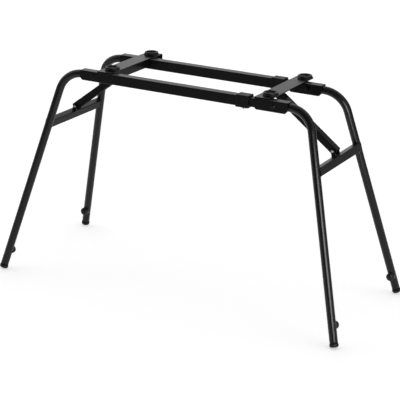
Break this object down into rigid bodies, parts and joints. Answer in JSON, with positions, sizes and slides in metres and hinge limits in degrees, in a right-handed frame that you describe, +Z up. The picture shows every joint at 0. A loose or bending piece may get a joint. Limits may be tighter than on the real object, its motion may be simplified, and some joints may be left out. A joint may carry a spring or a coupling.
{
  "type": "keyboard stand",
  "caption": "Low table-style keyboard stand: telescoping square-tube top frame with two flat arms and cup pads, on splayed round-tube leg frames that fold inward with diagonal struts.",
  "frame": {"origin": "on the floor below the middle of the closed stand", "axes": "+X along the rails towards the sliding half, +Y to the rear, +Z up"},
  "size_m": [1.1524, 0.4882, 0.6562],
  "materials": {
    "black_steel": "semi-matt black powder coat",
    "zinc_steel": "bright zinc plate",
    "blackened_steel": "blackened steel",
    "black_plastic": "moulded, fine grain",
    "nylon": "natural nylon",
    "black_rubber": "soft matt rubber"
  },
  "bodies": {
    "fixed_half": {"outer_rail_front": "black_steel", "outer_rail_rear": "black_steel", "rail_collar_front": "black_plastic", "rail_collar_rear": "black_plastic", "width_lock_screws": "zinc_steel", "left_hinge_bolts": "blackened_steel", "left_hinge_nuts": "blackened_steel", "left_hinge_washers": "nylon", "left_cross_angle": "black_steel", "left_cup_pad_front": "black_rubber", "left_cup_pad_rear": "black_rubber", "left_pad_screws": "blackened_steel", "left_pad_nuts": "blackened_steel", "left_upper_lug": "black_steel", "left_lock_pin": "zinc_steel", "left_support_arm": "black_steel"},
    "sliding_half": {"inner_rail_front": "black_steel", "inner_rail_rear": "black_steel", "glide_plug_front": "black_plastic", "glide_plug_rear": "black_plastic", "hinge_bracket_front": "black_steel", "hinge_bracket_rear": "black_steel", "right_hinge_bolts": "blackened_steel", "right_hinge_nuts": "blackened_steel", "right_hinge_washers": "nylon", "right_cross_angle": "black_steel", "right_cup_pad_front": "black_rubber", "right_cup_pad_rear": "black_rubber", "right_pad_screws": "blackened_steel", "right_pad_nuts": "blackened_steel", "right_upper_lug": "black_steel", "right_lock_pin": "zinc_steel", "right_support_arm": "black_steel"},
    "left_leg_frame": {"left_leg_rear": "black_steel", "left_leg_front": "black_steel", "left_foot_plug_rear": "black_rubber", "left_foot_plug_front": "black_rubber", "left_bumper_rear": "black_rubber", "left_bumper_front": "black_rubber", "left_crossbar": "black_steel", "left_lower_lug": "black_steel", "left_strut_pin": "zinc_steel", "left_strut_pin_cap": "blackened_steel"},
    "right_leg_frame": {"right_leg_rear": "black_steel", "right_leg_front": "black_steel", "right_foot_plug_rear": "black_rubber", "right_foot_plug_front": "black_rubber", "right_bumper_rear": "black_rubber", "right_bumper_front": "black_rubber", "right_crossbar": "black_steel", "right_lower_lug": "black_steel", "right_strut_pin": "zinc_steel", "right_strut_pin_cap": "blackened_steel"},
    "left_strut_body": {"left_strut": "black_steel"},
    "right_strut_body": {"right_strut": "black_steel"}
  },
  "joints": [
    {"name": "width_slide", "type": "slide", "parent": "fixed_half", "child": "sliding_half", "axis": [1, 0, 0], "range_m": [-0.014, 0.2]},
    {"name": "left_leg_fold", "type": "hinge", "parent": "fixed_half", "child": "left_leg_frame", "pos_m": [-0.2965, 0, 0.629], "axis": [0, -1, 0], "range_deg": [0, 98]},
    {"name": "right_leg_fold", "type": "hinge", "parent": "sliding_half", "child": "right_leg_frame", "pos_m": [0.2965, 0, 0.629], "axis": [0, 1, 0], "range_deg": [0, 104.4]},
    {"name": "left_strut_turn", "type": "hinge", "parent": "left_leg_frame", "child": "left_strut_body", "pos_m": [-0.436, 0, 0.4925], "axis": [0, -1, 0], "range_deg": [0, 36.5]},
    {"name": "right_strut_turn", "type": "hinge", "parent": "right_leg_frame", "child": "right_strut_body", "pos_m": [0.436, 0, 0.4925], "axis": [0, 1, 0], "range_deg": [0, 38.7]}
  ],
  "couplings": [
    {"joint": "left_strut_turn", "follows": "left_leg_fold", "ratio": 0.37},
    {"joint": "right_strut_turn", "follows": "right_leg_fold", "ratio": 0.37}
  ]
}
